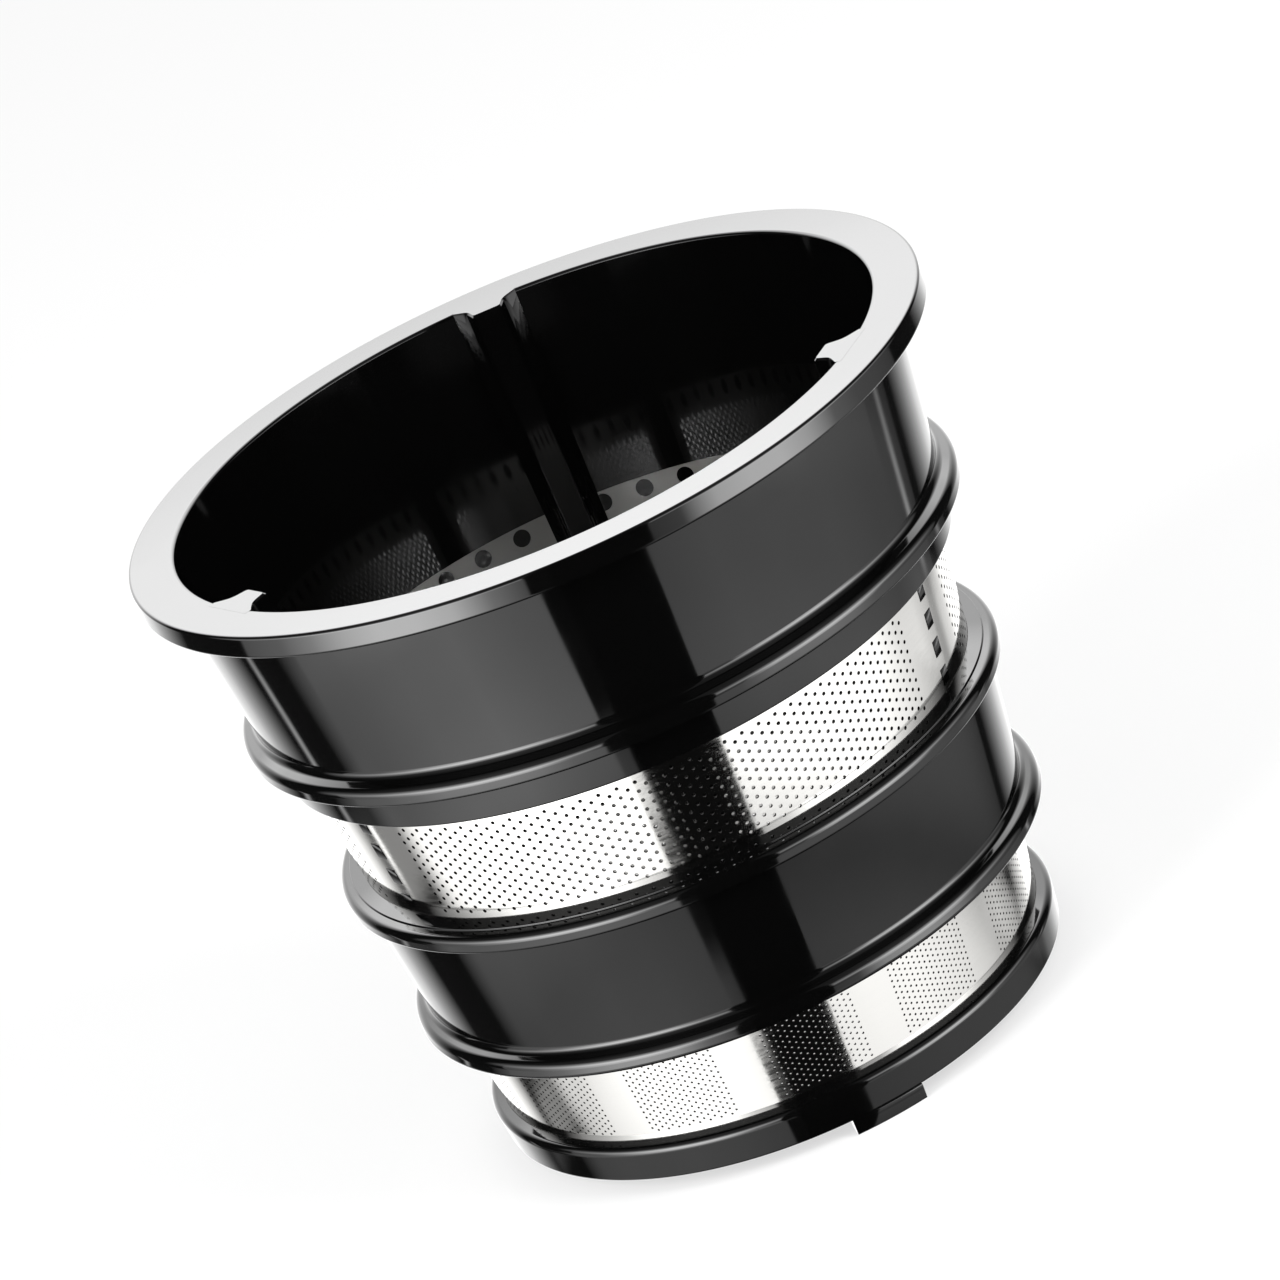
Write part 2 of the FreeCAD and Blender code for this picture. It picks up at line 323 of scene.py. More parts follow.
@dataclass(frozen=True)
class RolledSteel:
    """Stainless steel sheet, cold rolled and punched.

    The eye sees a bright mirror that is broken by faint rolling lines round the band and by the dimples
    that the punch leaves between the holes. Inside the holes the walls are rougher and carry a near-black painted
    shade, and the inner face and the cut edges carry half of that painted shade and roughness.
    """

    name: str
    colour: str = "#e8e7e4"
    painted_shade_colour: str = "#181716"
    dull_roughness: float = 0.5
    roughness: float = 0.08
    grain: float = 0.03
    # rolling lines are a few hundredths of a millimetre wide, and are drawn coarser here so that they show
    line_size: float = 0.35
    line_stretch: float = 14.0
    line_range: tuple[float, float] = (0.3, 0.7)
    dimple_size: float = 1.4
    dimple_depth: float = 0.003

    def material(self) -> bpy.types.Material:
        """Builds the node material.

        Returns:
            The finished material.
        """
        material = bpy.data.materials.new(self.name)
        material.use_nodes = True
        tree = material.node_tree
        shader = tree.nodes["Principled BSDF"]
        shader.inputs["Metallic"].default_value = 1.0
        place = add_node(tree, "ShaderNodeTexCoord")
        dull_and_shade_mask = add_node(tree, "ShaderNodeAttribute", {"attribute_name": DULL_AND_SHADE})
        # the mask paints shade into the colour: near-black on the walls of the holes, half of that on the inner face
        # and the cut edges
        tint = add_node(tree, "ShaderNodeMix", {"data_type": "RGBA"}, links={"Factor": dull_and_shade_mask.outputs["Fac"]})
        # the mix node's colours are its inputs 6 and 7 and its output 2
        tint.inputs[6].default_value = linear(self.colour)
        tint.inputs[7].default_value = linear(self.painted_shade_colour)
        tree.links.new(tint.outputs[2], shader.inputs["Base Color"])
        squeeze = add_node(tree, "ShaderNodeMapping", values={"Scale": (1.0, 1.0, self.line_stretch)},
                           links={"Vector": place.outputs["Object"]})
        lines = add_node(tree, "ShaderNodeTexNoise",
                         values={"Scale": 1 / (self.line_size * self.line_stretch * MM), "Detail": 3.0},
                         links={"Vector": squeeze.outputs["Vector"]})
        gloss = add_node(tree, "ShaderNodeMapRange",
                         values={"From Min": self.line_range[0], "From Max": self.line_range[1],
                                 "To Min": self.roughness - self.grain, "To Max": self.roughness + self.grain},
                         links={"Value": lines.outputs["Fac"]})
        dull_and_shade = add_node(tree, "ShaderNodeMath", {"operation": "MULTIPLY_ADD"},
                        links={0: dull_and_shade_mask.outputs["Fac"], 2: gloss.outputs["Result"]})
        dull_and_shade.inputs[1].default_value = self.dull_roughness
        tree.links.new(dull_and_shade.outputs["Value"], shader.inputs["Roughness"])
        dimples = add_node(tree, "ShaderNodeTexNoise", values={"Scale": 1 / (self.dimple_size * MM), "Detail": 2.0},
                           links={"Vector": place.outputs["Object"]})
        bump = add_node(tree, "ShaderNodeBump", values={"Strength": 1.0, "Distance": self.dimple_depth * MM},
                        links={"Height": dimples.outputs["Fac"]})
        tree.links.new(bump.outputs["Normal"], shader.inputs["Normal"])
        return material


@dataclass(frozen=True)
class Wall:
    """Tapered wall that every piece is measured from, in millimetres."""

    radius_base: float = 39.95
    radius_top: float = 51.3
    base: float = 2.3
    top: float = 95.3
    thickness: float = 2.4
    recess: float = 2.0
    margin: float = 2.8
    upper_window: tuple[float, float] = (45.6, 61.9)
    lower_window: tuple[float, float] = (7.75, 21.5)

    def radius(self, height: np.ndarray | float, inset: float = 0.0) -> np.ndarray | float:
        """Radius of the outer wall at a height, less an inset."""
        return self.radius_base + (height - self.base) * self.taper - inset

    @property
    def taper(self) -> float:
        """Growth of the radius for each unit of height."""
        return (self.radius_top - self.radius_base) / (self.top - self.base)

    @property
    def normal(self) -> np.ndarray:
        """Radial and upward part of the outer wall's normal."""
        return np.array([1.0, -self.taper]) / math.hypot(1.0, self.taper)


@dataclass(frozen=True)
class Ring:
    """Ring round the wall: height of its ledge, reach beyond the wall and its roundings, in millimetres.

    The draft is the share of the wall's taper that the ring's outer face keeps, below zero where it leans up.
    """

    ledge: float
    reach: float
    fall: float
    root_radius: float
    edge_radius: float
    lower_radius: float
    draft: float
    thickness: float = 2.3

    def corners(self, wall: Wall) -> tuple[list[tuple[float, float]], list[float]]:
        """Corners of the ring's section from its underside up to the wall above it.

        Args:
            wall: wall that carries the ring.

        Returns:
            Radius and height of each corner, and the arc radius there.
        """
        bottom, root = self.ledge - self.thickness, self.ledge + self.fall
        places = [
            (wall.radius(self.ledge - self.draft * self.thickness) + self.reach, bottom),
            (wall.radius(self.ledge) + self.reach, self.ledge),
            (wall.radius(root), root),
        ]
        return places, [self.lower_radius, self.edge_radius, self.root_radius]


@dataclass
class BasketShell:
    """Turned body of the moulded frame: mouth with its flange, middle wall and base, in millimetres."""

    wall: Wall
    upper_ring: Ring = Ring(69.1, 2.4, fall=1.15, root_radius=1.2, edge_radius=1.35, lower_radius=0.45, draft=0.4,
                            thickness=2.25)
    middle_ring: Ring = Ring(44.5, 1.75, fall=0.35, root_radius=0.1, edge_radius=1.2, lower_radius=0.5, draft=0.5)
    lower_ring: Ring = Ring(23.65, 2.05, fall=0.9, root_radius=1.1, edge_radius=1.5, lower_radius=0.6, draft=-0.9,
                            thickness=2.15)
    flange_reach: float = 4.08
    flange_thickness: float = 3.2
    flange_radius: float = 0.45
    mouth_radius: float = 0.5
    rim_radius: float = 0.15
    rim_fall: float = 0.5
    collar_radius: float = 0.35
    base_radius: float = 1.1
    foot_radius: float = 0.4
    bore_radius: float = 34.5
    lip_top: float = 5.3
    crisp: float = 0.06
    cap_sink: float = 0.01
    segments: int = 480
    steps: int = 6

    def seat(self, height: float, way: int) -> list[tuple[float, float]]:
        """Corners of the groove that holds a band's edge, from the window towards the inner face.

        Args:
            height: height of the window's rim.
            way: 1 where the groove runs up from the rim and -1 where it runs down.

        Returns:
            Radius and height of each corner.
        """
        end = height + way * self.wall.margin
        return [
            (self.wall.radius(height, self.wall.recess), height),
            (self.wall.radius(end, self.wall.recess), end),
            (self.wall.radius(end, self.wall.thickness), end),
        ]

    def mouth_section(self) -> tuple[list[tuple[float, float]], list[float]]:
        """Section of the flange, the upper wall and the collar, anticlockwise.

        Returns:
            Corners and the arc radius at each.
        """
        wall, rim = self.wall, self.wall.upper_window[1]
        top = wall.top - self.cap_sink
        under = wall.top - self.flange_thickness
        outer = wall.radius_top + self.flange_reach
        ring_bottom = self.upper_ring.ledge - self.upper_ring.thickness
        ring, ring_arcs = self.upper_ring.corners(wall)
        places = [(wall.radius(rim), rim), (wall.radius(ring_bottom), ring_bottom)] + ring
        places += [(wall.radius(under), under), (outer, under), (outer, top), (wall.radius(top, wall.thickness), top)]
        arcs = [self.collar_radius, self.crisp] + ring_arcs
        arcs += [self.crisp, self.flange_radius, self.flange_radius, self.mouth_radius]
        seat = self.seat(rim, 1)[::-1]
        return places + seat, arcs + [self.crisp] * len(seat)

    def middle_section(self) -> tuple[list[tuple[float, float]], list[float]]:
        """Section of the middle wall with the ring under each window, anticlockwise.

        Returns:
            Corners and the arc radius at each.
        """
        wall = self.wall
        rim, low = wall.upper_window[0], wall.lower_window[1]
        bottom = self.middle_ring.ledge - self.middle_ring.thickness
        lower, lower_arcs = self.lower_ring.corners(wall)
        middle, middle_arcs = self.middle_ring.corners(wall)
        edge = rim - self.rim_fall
        places = lower + [(wall.radius(bottom), bottom)] + middle + [(wall.radius(edge), edge)]
        arcs = lower_arcs + [self.crisp] + middle_arcs + [self.rim_radius]
        seats = self.seat(rim, -1) + self.seat(low, 1)[::-1]
        return places + seats, arcs + [self.crisp] * len(seats)

    def base_section(self) -> tuple[list[tuple[float, float]], list[float]]:
        """Section of the base ring with its inward lip, anticlockwise.

        Returns:
            Corners and the arc radius at each.
        """
        wall, rim = self.wall, self.wall.lower_window[0]
        edge = rim - self.rim_fall
        places = [(self.bore_radius, wall.base), (wall.radius_base, wall.base), (wall.radius(edge), edge)]
        places += self.seat(rim, -1)
        places += [(wall.radius(self.lip_top, wall.thickness), self.lip_top), (self.bore_radius, self.lip_top)]
        arcs = [self.foot_radius, self.foot_radius, self.base_radius]
        return places, arcs + [self.crisp] * 4 + [self.foot_radius]

    def build(self) -> bpy.types.Object:
        """Turns the three sections about the axis into one piece.

        A point is (r sin a, -r cos a, z) for a section point (r, z) and a turn a, and its normal is the
        section's normal turned with it.

        Returns:
            The shell.
        """
        turn = np.linspace(0.0, 2 * np.pi, self.segments, endpoint=False)[:, None]
        points, normals, faces, count = [], [], [], 0
        for places, arcs in (self.mouth_section(), self.middle_section(), self.base_section()):
            outline, outward = rounded_outline(np.array(places), np.array(arcs), self.steps)
            points.append(polar(outline[None, :, 0], turn, outline[None, :, 1]).reshape(-1, 3))
            normals.append(around(outward[None, :, :], turn).reshape(-1, 3))
            faces.append(grid_faces(self.segments, len(outline), True, True) + count)
            count += self.segments * len(outline)
        return mesh_piece("basket_shell", np.concatenate(points), np.concatenate(faces), np.concatenate(normals))


@dataclass(frozen=True)
class RibSection:
    """Section of a rib: sideways place and depth of each corner and the arc radius there, in millimetres."""

    corners: tuple[tuple[float, float], ...]
    arcs: tuple[float, ...]


@dataclass
class InnerRibs:
    """Ribs down the inside of the basket, whose upper ends lie level with the flange, in millimetres."""

    wall: Wall
    thin_root: float = 0.2
    deep_root: float = 1.0
    deepened: tuple[float, float] = (66.0, 68.0)
    bottom: float = 3.8
    top_bevel: float = 0.3
    crisp: float = 0.05
    crease: float = 28.0
    steps: int = 6
    mouth: RibSection = RibSection(
        ((-4.8, 0.0), (-2.7, 1.7), (-2.05, 4.25), (2.05, 4.25), (2.7, 1.7), (4.8, 0.0)),
        (0.05, 2.6, 0.5, 0.5, 2.6, 0.05),
    )
    base: RibSection = RibSection(
        ((-2.9, 0.0), (-1.75, 0.9), (-1.35, 2.2), (1.35, 2.2), (1.75, 0.9), (2.9, 0.0)),
        (0.05, 1.4, 0.3, 0.3, 1.4, 0.05),
    )

    def level(self, height: float) -> np.ndarray:
        """Outline of a rib at one height, blended between the base and the mouth.

        The root stays within the steel below the collar and goes deeper above it, and the top level is drawn
        in by the bevel.

        Args:
            height: height above the feet.

        Returns:
            Sideways place and depth of each point of the outline.
        """
        share = (height - self.bottom) / (self.wall.top - self.bottom)
        corners = (1 - share) * np.array(self.base.corners) + share * np.array(self.mouth.corners)
        arcs = (1 - share) * np.array(self.base.arcs) + share * np.array(self.mouth.arcs)
        root = self.deep_root if height > self.deepened[0] else self.thin_root
        section = np.concatenate([corners, corners[[-1, 0]] - [0.0, root]])
        inset = self.top_bevel if height == self.wall.top else 0.0
        middle = section.mean(axis=0)
        drawn = middle + (section - middle) * (1 - inset / np.abs(section - middle).max(axis=0))
        outline, _ = rounded_outline(drawn[::-1], np.append(arcs, [self.crisp] * 2)[::-1], self.steps)
        return outline

    def rib(self, place: RibPlace) -> bpy.types.Object:
        """Lofts one rib along the inner wall and closes both ends.

        At each height a section point (u, d) lies u along the tangent and d inwards from the inner wall.

        Args:
            place: place of the rib about the axis.

        Returns:
            The rib.
        """
        heights = np.array([self.bottom, *self.deepened, self.wall.top - self.top_bevel, self.wall.top])
        outline = np.stack([self.level(float(height)) for height in heights])
        radial = self.wall.radius(heights, self.wall.thickness)[:, None] - outline[:, :, 1]
        angle = math.radians(place.value)
        side = np.array([math.cos(angle), math.sin(angle), 0.0])
        out = np.array([math.sin(angle), -math.cos(angle), 0.0])
        points = (radial[:, :, None] * out + outline[:, :, :1] * side) * MM
        points[:, :, 2] = heights[:, None] * MM
        ends = np.stack([points[0].mean(axis=0), points[-1].mean(axis=0)])
        closed = np.concatenate([points.reshape(-1, 3), ends])
        return mesh_piece(f"rib_{place.name.lower()}", closed, capped_faces(*outline.shape[:2]), crease=self.crease)

    def build(self) -> list[bpy.types.Object]:
        """Builds a rib at each place."""
        return [self.rib(place) for place in RibPlace]


@dataclass
class SectorSet:
    """Short stretches of a turned section, repeated round the axis, in millimetres and degrees."""

    name: str
    section: np.ndarray
    arc: float
    spread: float
    turns: np.ndarray
    steps: int = 4
    divisions: int = 8
    crease: float = 35.0

    def build(self) -> bpy.types.Object:
        """Turns the section through its spread at each place and closes the ends with fans.

        Returns:
            All stretches as one piece.
        """
        outline, _ = rounded_outline(self.section, np.full(len(self.section), self.arc), self.steps)
        count = len(outline)
        half = math.radians(self.spread) / 2
        swing = np.linspace(-half, half, self.divisions)
        angle = np.radians(self.turns)[:, None, None] + swing[None, :, None]
        body = polar(outline[None, None, :, 0], angle, outline[None, None, :, 1])
        middle = outline.mean(axis=0)
        ends = polar(middle[0], angle[:, [0, -1], 0], middle[1])
        stretch = self.divisions * count
        points = np.concatenate([body.reshape(len(self.turns), stretch, 3), ends], axis=1)
        faces = capped_faces(self.divisions, count)
        shifts = np.arange(len(self.turns))[:, None, None] * (stretch + 2)
        return mesh_piece(self.name, points, (faces[None] + shifts).reshape(-1, 3), crease=self.crease)


@dataclass
class AnchorPlugs:
    """Round ends of the plastic that fills the holes along a band's upper edge, in millimetres."""

    wall: Wall
    height: float = 63.1
    diameter: float = 2.5
    count: int = 46
    offset: float = 2.53
    proud: float = 0.04
    depth: float = 0.3
    sides: int = 20
    crease: float = 35.0

    def build(self) -> bpy.types.Object:
        """Builds short discs that stand on the inner face.

        A disc's point is its centre plus r cos b along the tangent and r sin b along the wall, moved along
        the inner normal by its depth.

        Returns:
            All discs as one piece.
        """
        turn = np.radians(np.arange(self.count) * 360.0 / self.count + self.offset)
        normal = around(-self.wall.normal[None, :], turn)
        along = around(np.array([[self.wall.normal[1], self.wall.normal[0]]]) * [-1.0, 1.0], turn)
        tangent = np.cross(along, normal)
        centre = polar(self.wall.radius(self.height, self.wall.thickness), turn, self.height)
        angle = np.linspace(0.0, 2 * np.pi, self.sides, endpoint=False)
        rim = self.diameter / 2 * MM * (
            np.cos(angle)[None, :, None] * tangent[:, None, :] + np.sin(angle)[None, :, None] * along[:, None, :]
        )
        levels = np.array([-self.depth, self.proud]) * MM
        body = centre[:, None, None, :] + rim[:, None] + levels[None, :, None, None] * normal[:, None, None, :]
        tops = centre[:, None, :] + levels[None, 1:, None] * normal[:, None, :]
        points = np.concatenate([body.reshape(self.count, -1, 3), tops], axis=1)
        side = grid_faces(2, self.sides, False, True)
        ring = np.arange(self.sides)
        cap = np.stack([self.sides + (ring + 1) % self.sides, self.sides + ring, np.full(self.sides, 2 * self.sides)],
                       axis=-1)
        faces = np.concatenate([side[:, [0, 1, 2]], side[:, [0, 2, 3]], cap])
        shifts = np.arange(self.count)[:, None, None] * (2 * self.sides + 1)
        return mesh_piece("anchor_plugs", points, (faces[None] + shifts).reshape(-1, 3), crease=self.crease)


@dataclass(frozen=True)
class Perforation:
    """Round holes on a staggered lattice, in millimetres.

    The rise lifts the lattice from the band's lower edge, and the clearances keep the holes off the window's rims.
    """

    pitch: float
    hole: float
    rise: float
    clear_low: float
    clear_high: float
    sides: int


@dataclass(frozen=True)
class Cells:
    """Six-sided cells that tile a band: turn and height of their middles, and the turn between columns."""

    turn: np.ndarray
    height: np.ndarray
    step: float

    def only(self, chosen: np.ndarray) -> "Cells":
        """The chosen cells."""
        return Cells(self.turn[chosen], self.height[chosen], self.step)


@dataclass
class Patchwork:
    """Patches of surface gathered for one mesh, with how much painted shade and roughness each point takes."""

    points: list[np.ndarray] = field(default_factory=list)
    normals: list[np.ndarray] = field(default_factory=list)
    faces: list[np.ndarray] = field(default_factory=list)
    dull_and_shade: list[np.ndarray] = field(default_factory=list)
    count: int = 0

    def add(self, points: np.ndarray, normals: np.ndarray, faces: np.ndarray, dull_and_shade: float) -> None:
        """Adds all copies of one patch.

        Args:
            points: points of each copy, with the copies on the first axis.
            normals: normals at the points, shaped alike.
            faces: vertex numbers of one copy's faces.
            dull_and_shade: how much painted shade and roughness the patch takes, from 0 to 1.
        """
        copies, each = points.shape[:2]
        shifts = np.arange(copies)[:, None, None] * each + self.count
        self.points.append(points.reshape(-1, 3))
        self.normals.append(normals.reshape(-1, 3))
        self.faces.append((faces[None] + shifts).reshape(-1, faces.shape[1]))
        self.dull_and_shade.append(np.full(copies * each, dull_and_shade))
        self.count += copies * each

    def piece(self, name: str) -> bpy.types.Object:
        """Joins the patches into one piece and keeps the painted shade and roughness as an attribute of its points.

        Args:
            name: name of the piece.

        Returns:
            The piece.
        """
        piece = mesh_piece(name, np.concatenate(self.points), np.concatenate(self.faces), np.concatenate(self.normals))
        dull_and_shade_mask = piece.data.attributes.new(DULL_AND_SHADE, "FLOAT", "POINT")
        dull_and_shade_mask.data.foreach_set("value", np.concatenate(self.dull_and_shade).astype(np.float32))
        return piece


@dataclass
class PerforatedBand:
    """Tapered steel band with fields of round holes, in millimetres and degrees."""

    name: str
    wall: Wall
    window: tuple[float, float]
    holes: Perforation
    field_centres: np.ndarray
    field_half: float
    # painted shade, with roughness: half on the inner face and the cut edges, full on the walls of the holes
    inner_dull_and_shade: float = 0.5
    hole_dull_and_shade: float = 1.0
    edge_segments: int = 256
    least_cell: float = 1e-6

    @property
    def edges(self) -> tuple[float, float]:
        """Heights of the band's lower and upper edge."""
        return self.window[0] - self.wall.margin, self.window[1] + self.wall.margin

    def shade(self, face: Face) -> float:
        """How much painted shade and roughness a face of the band takes."""
        return self.inner_dull_and_shade if face is Face.INNER else 0.0

    def lattice(self) -> Cells:
        """Tiles the band: columns sqrt(3)/2 of the pitch apart, every other one raised by half a pitch.

        Returns:
            The cells.
        """
        low, high = self.edges
        pitch = self.holes.pitch
        middle = self.wall.radius((low + high) / 2, self.wall.recess)
        columns = 2 * round(2 * np.pi * middle / (pitch * math.sqrt(3)))
        step = 2 * np.pi / columns
        rows = math.ceil((high - low) / pitch) + 2
        column, row = np.meshgrid(np.arange(columns), np.arange(rows), indexing="ij")
        height = low + self.holes.rise + (row + 0.5 * (column % 2)) * pitch
        return Cells((column * step).ravel(), height.ravel(), step)

    def holed(self, cells: Cells) -> np.ndarray:
        """Marks the cells that have a hole: those inside the window and inside a field of holes.

        Args:
            cells: cells of the band.

        Returns:
            True for each cell with a hole.
        """
        low, high = self.window[0] + self.holes.clear_low, self.window[1] - self.holes.clear_high
        apart = np.degrees(cells.turn)[:, None] - self.field_centres[None, :]
        apart = np.abs((apart + 180.0) % 360.0 - 180.0)
        return (cells.height > low) & (cells.height < high) & (apart.min(axis=1) < self.field_half)

    def place(self, turn: np.ndarray, height: np.ndarray, face: Face) -> tuple[np.ndarray, np.ndarray]:
        """Points and normals of one face of the band.

        Args:
            turn: turns of the points.
            height: heights of the points.
            face: outer or inner face.

        Returns:
            Points in metres and unit normals.
        """
        inset = self.wall.recess if face is Face.OUTER else self.wall.thickness
        points = polar(self.wall.radius(height, inset), turn, height)
        return points, around(face.value * self.wall.normal, turn)

    def borders(self, cells: Cells, shape: np.ndarray) -> tuple[np.ndarray, np.ndarray]:
        """Points on the border of each cell, held within the band's edges.

        Args:
            cells: cells of the band.
            shape: border of one cell, as shares of the step and of the pitch.

        Returns:
            Turns and heights of the points.
        """
        height = np.clip(cells.height[:, None] + shape[None, :, 1] * self.holes.pitch, *self.edges)
        return cells.turn[:, None] + shape[None, :, 0] * cells.step, height

    def add_holed(self, work: Patchwork, cells: Cells) -> tuple[np.ndarray, np.ndarray]:
        """Adds both faces of the cells with a hole: a ring of quads from the border to the hole.

        A point of the hole is the cell's middle plus half the hole times (cos b, sin b), and its partner lies
        at the same share of the way round the hexagon.

        Args:
            work: patches of the band.
            cells: cells to add.

        Returns:
            Turns and heights of the points round each hole.
        """
        sides = self.holes.sides
        share = np.arange(sides) * 6 / sides
        first = share.astype(int)
        shape = HEXAGON[first] + (HEXAGON[(first + 1) % 6] - HEXAGON[first]) * (share - first)[:, None]
        border = self.borders(cells, shape)
        angle = share * np.pi / 3
        radius = self.wall.radius(cells.height, self.wall.recess)[:, None]
        rim = (cells.turn[:, None] + self.holes.hole / 2 * np.cos(angle) / radius,
               cells.height[:, None] + self.holes.hole / 2 * np.sin(angle))
        ring = np.arange(sides)
        following = (ring + 1) % sides
        quads = np.stack([ring, following, sides + following, sides + ring], axis=-1)
        for face in Face:
            pairs = zip(self.place(*border, face), self.place(*rim, face))
            points, normals = (np.concatenate(pair, axis=1) for pair in pairs)
            work.add(points, normals, quads[:, ::face.value], self.shade(face))
        return rim

    def add_plain(self, work: Patchwork, cells: Cells) -> None:
        """Adds both faces of the cells without a hole, each as two quads.

        Args:
            work: patches of the band.
            cells: cells to add.
        """
        turn, height = self.borders(cells, HEXAGON)
        kept = np.ptp(height, axis=1) > self.least_cell
        halves = np.array([[0, 1, 2, 3], [0, 3, 4, 5]])
        for face in Face:
            points, normals = self.place(turn[kept], height[kept], face)
            work.add(points, normals, halves[:, ::face.value], self.shade(face))

    def add_walls(self, work: Patchwork, rim: tuple[np.ndarray, np.ndarray]) -> None:
        """Adds the walls of the holes, whose normals point at each hole's middle.

        Args:
            work: patches of the band.
            rim: turns and heights of the points round each hole.
        """
        outer, inner = (self.place(*rim, face)[0] for face in Face)
        towards = outer.mean(axis=1, keepdims=True) - outer
        towards /= np.linalg.norm(towards, axis=-1, keepdims=True)
        tube = grid_faces(2, self.holes.sides, False, True)[:, ::-1]
        # the walls of the holes take the full painted shade
        work.add(np.concatenate([outer, inner], axis=1), np.concatenate([towards, towards], axis=1), tube,
                 self.hole_dull_and_shade)

    def add_edges(self, work: Patchwork) -> None:
        """Adds the cut edges at the bottom and the top of the band.

        Args:
            work: patches of the band.
        """
        count = self.edge_segments
        circle = np.linspace(0.0, 2 * np.pi, count, endpoint=False)
        strip = grid_faces(2, count, False, True)
        for level, way in zip(self.edges, (-1, 1)):
            pair = np.concatenate([self.place(circle, np.full(count, level), face)[0] for face in Face])[None]
            normals = np.broadcast_to(np.array([0.0, 0.0, way]), pair.shape)
            # the cut edges take the inner face's share of painted shade
            work.add(pair, normals, strip[:, ::-way], self.inner_dull_and_shade)

    def build(self) -> bpy.types.Object:
        """Builds both faces, the walls of the holes and the two edges of the band.

        Returns:
            The band.
        """
        work = Patchwork()
        cells = self.lattice()
        holed = self.holed(cells)
        rim = self.add_holed(work, cells.only(holed))
        self.add_plain(work, cells.only(~holed))
        self.add_walls(work, rim)
        self.add_edges(work)
        return work.piece(self.name)


@dataclass
class Basket:
    """The whole strainer: moulded frame with ribs, plugs and feet, and the two steel bands."""

    wall: Wall = field(default_factory=Wall)
    plastic: GlossyPlastic = GlossyPlastic()
    upper_steel: RolledSteel = RolledSteel("stainless_steel_coarse_punched")
    lower_steel: RolledSteel = RolledSteel("stainless_steel_fine_punched", dimple_size=0.9)
    rib_turns: tuple[float, ...] = tuple(place.value for place in RibPlace)
    plug_size: tuple[float, float] = (1.85, 2.3)
    plug_first: float = 47.45
    plug_pitch: float = 4.133
    plug_count: int = 4
    plug_proud: float = 0.06
    plug_root: float = 0.2
    plug_arc: float = 0.05
    lug_turn: float = 13.5
    lug_spread: float = 15.0
    lug_depth: float = 3.2
    lug_root: float = 0.5
    lug_arc: float = 0.25
    lug_count: int = 3
    coarse: Perforation = Perforation(pitch=1.41, hole=0.55, rise=-0.33, clear_low=0.95, clear_high=1.4, sides=12)
    fine: Perforation = Perforation(pitch=0.895, hole=0.36, rise=0.0, clear_low=1.2, clear_high=0.9, sides=6)
    patch_count: int = 13
    patch_turn: float = 5.2
    patch_half: float = 9.7
    strip_half: float = 8.5

    def plugs(self) -> list[bpy.types.Object]:
        """Builds the rows of plugs that show through the upper band, one piece for each level.

        Returns:
            The rows of plugs.
        """
        wall, pieces = self.wall, []
        width, tall = self.plug_size
        for row in range(self.plug_count):
            middle = self.plug_first + row * self.plug_pitch
            low, high = middle - tall / 2, middle + tall / 2
            outer, inner = wall.recess - self.plug_proud, wall.thickness + self.plug_root
            section = np.array([
                (wall.radius(low, inner), low), (wall.radius(low, outer), low),
                (wall.radius(high, outer), high), (wall.radius(high, inner), high),
            ])
            spread = math.degrees(width / wall.radius(middle, outer))
            name, turns = f"rib_plugs_{row + 1}", np.array(self.rib_turns)
            pieces.append(SectorSet(name, section, self.plug_arc, spread, turns).build())
        return pieces

    def lugs(self) -> bpy.types.Object:
        """Builds the feet under the base.

        Returns:
            The feet.
        """
        wall = self.wall
        inner = wall.radius_base - self.lug_depth
        section = np.array([
            (inner, 0.0), (wall.radius(0.0), 0.0),
            (wall.radius(wall.base), wall.base), (inner, wall.base + self.lug_root),
        ])
        turns = self.lug_turn + np.arange(self.lug_count) * 360.0 / self.lug_count
        return SectorSet("feet", section, self.lug_arc, self.lug_spread, turns).build()

    def bands(self) -> list[bpy.types.Object]:
        """Builds the upper and the lower steel band.

        Returns:
            The two bands.
        """
        between = np.array(self.rib_turns) + 180.0 / len(self.rib_turns)
        half = 180.0 / len(self.rib_turns) - self.strip_half
        patches = self.patch_turn + np.arange(self.patch_count) * 360.0 / self.patch_count
        upper = PerforatedBand("upper_mesh_band", self.wall, self.wall.upper_window, self.coarse, between, half)
        lower = PerforatedBand("lower_mesh_band", self.wall, self.wall.lower_window, self.fine, patches,
                               self.patch_half)
        return [upper.build(), lower.build()]

    def build(self) -> None:
        """Builds every piece, dresses it and ties it to the part."""
        black = self.plastic.material()
        shell = BasketShell(self.wall).build()
        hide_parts("frame")
        plastic = [shell] + InnerRibs(self.wall).build() + self.plugs() + [self.lugs(), AnchorPlugs(self.wall).build()]
        for piece in plastic:
            self.dress(piece, black, "black_plastic")
        finishes = (self.upper_steel, self.lower_steel)
        for piece, finish, node in zip(self.bands(), finishes, ("upper_screen", "lower_screen")):
            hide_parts(node)
            self.dress(piece, finish.material(), node.replace("screen", "steel"))

    @staticmethod
    def dress(piece: bpy.types.Object, material: bpy.types.Material, slot: str) -> None:
        """Gives a piece its material and body.

        Args:
            piece: piece of the basket.
            material: its material.
            slot: not used.
        """
        piece.data.materials.append(material)
        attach(piece, "root")
        LOG.info("%s: %d faces", piece.name, len(piece.data.polygons))


